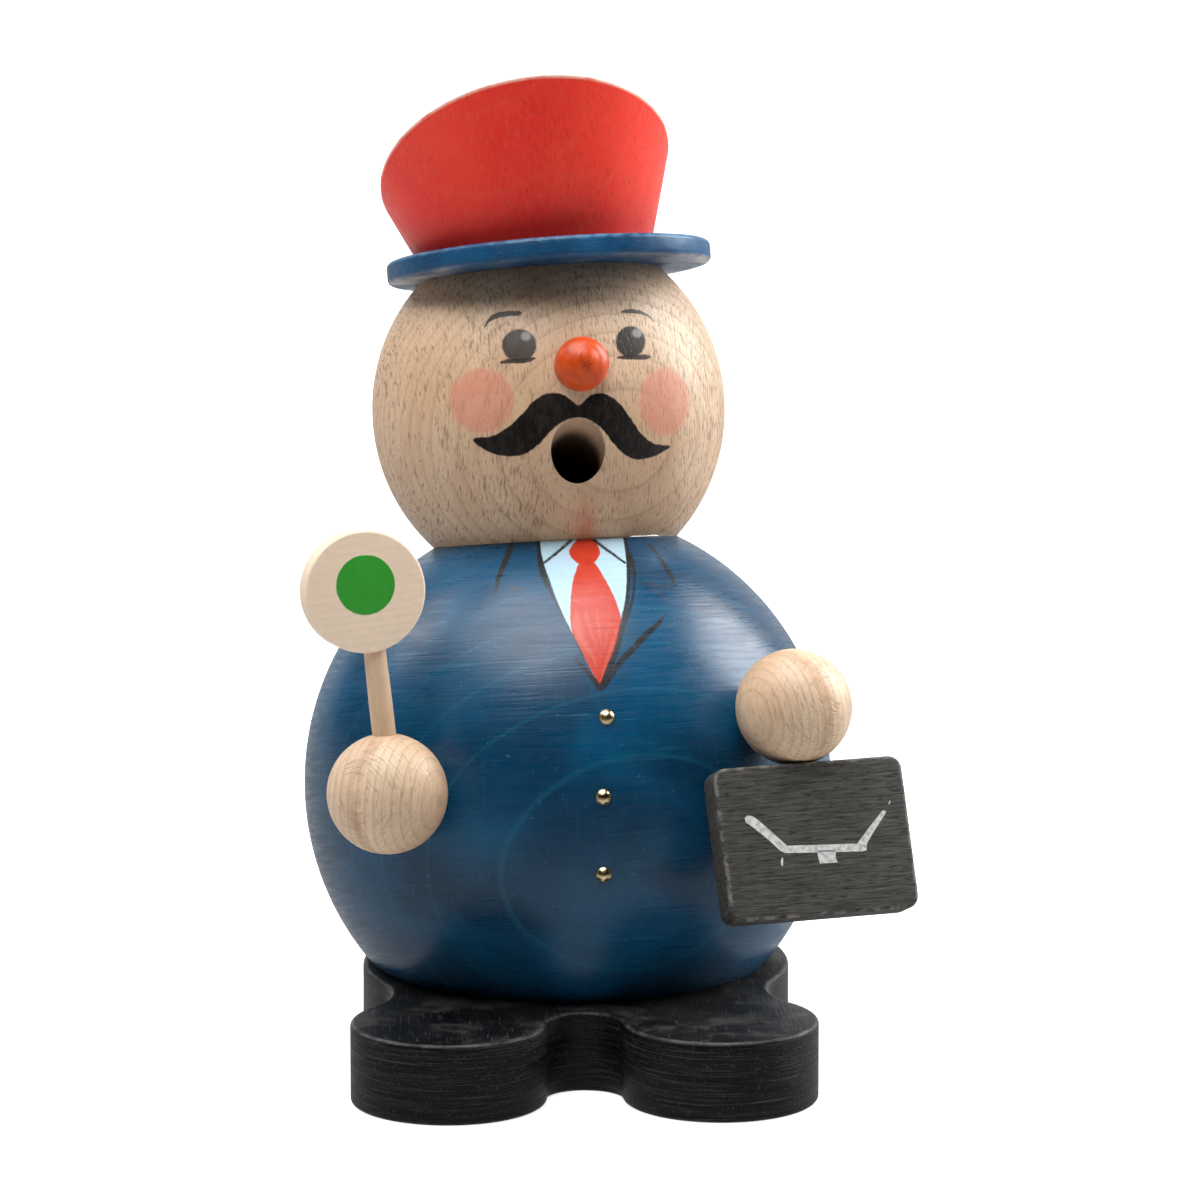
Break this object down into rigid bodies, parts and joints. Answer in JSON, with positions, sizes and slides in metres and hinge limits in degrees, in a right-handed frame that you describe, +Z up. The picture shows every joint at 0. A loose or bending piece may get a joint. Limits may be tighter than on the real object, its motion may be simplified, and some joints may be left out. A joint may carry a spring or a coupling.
{
  "type": "incense smoker figure",
  "caption": "Turned wooden incense smoker: a ball-bodied railway guard with a signal disc and a case, whose hollow body lifts off a base that carries a tray for an incense cone.",
  "frame": {"origin": "on the face the base board stands on, under the axis of the ball body and of the plug it lifts off", "axes": "+Z up; the toes of the base point to -Y; +X is the figure's left, the side of the case"},
  "size_m": [0.0856, 0.0894, 0.139],
  "materials": {
    "black_stained_wood": "beech stained black, satin lacquer, bare wood showing at worn edges",
    "bare_beech": "bare turned beech with short dark flecks, thin clear lacquer; face, green dot painted on",
    "tray_brass": "stamped sheet, dull, browned by smoke",
    "nail_brass": "polished domed nail heads",
    "incense": "pressed charcoal and wood powder, dry and matt",
    "blue_stained_wood": "beech stained dark blue, semi-gloss lacquer; painted shirt, tie and lapels",
    "brim_stained_wood": "beech stained mid blue, satin lacquer",
    "red_stained_wood": "beech stained bright red, satin lacquer",
    "orange_painted_wood": "gloss orange paint on turned wood",
    "grey_stained_wood": "wood stained dark grey, matt, with a painted off-white flap line",
    "pin_steel": "drawn wire"
  },
  "bodies": {
    "base": {"base_board": "black_stained_wood", "base_plug": "bare_beech", "cone_tray": "tray_brass", "tray_nail": "nail_brass"},
    "figure": {"body_ball": "blue_stained_wood", "head_ball": "bare_beech", "nose_knob": "orange_painted_wood", "hat_peg": "bare_beech", "hat_brim": "brim_stained_wood", "hat_crown": "red_stained_wood", "right_hand_ball": "bare_beech", "right_hand_peg": "bare_beech", "signal_stick": "bare_beech", "signal_disc": "bare_beech", "left_hand_ball": "bare_beech", "left_hand_peg": "bare_beech", "briefcase": "grey_stained_wood", "briefcase_pin": "pin_steel", "button_top": "nail_brass", "button_middle": "nail_brass", "button_bottom": "nail_brass"},
    "cone": {"incense_cone": "incense"}
  },
  "joints": [
    {"name": "body_lift", "type": "slide", "parent": "base", "child": "figure", "axis": [0, 0, 1], "range_m": [0, 0.06]},
    {"name": "cone_lift", "type": "slide", "parent": "base", "child": "cone", "axis": [0, 0, 1], "range_m": [0, 0.012]}
  ]
}
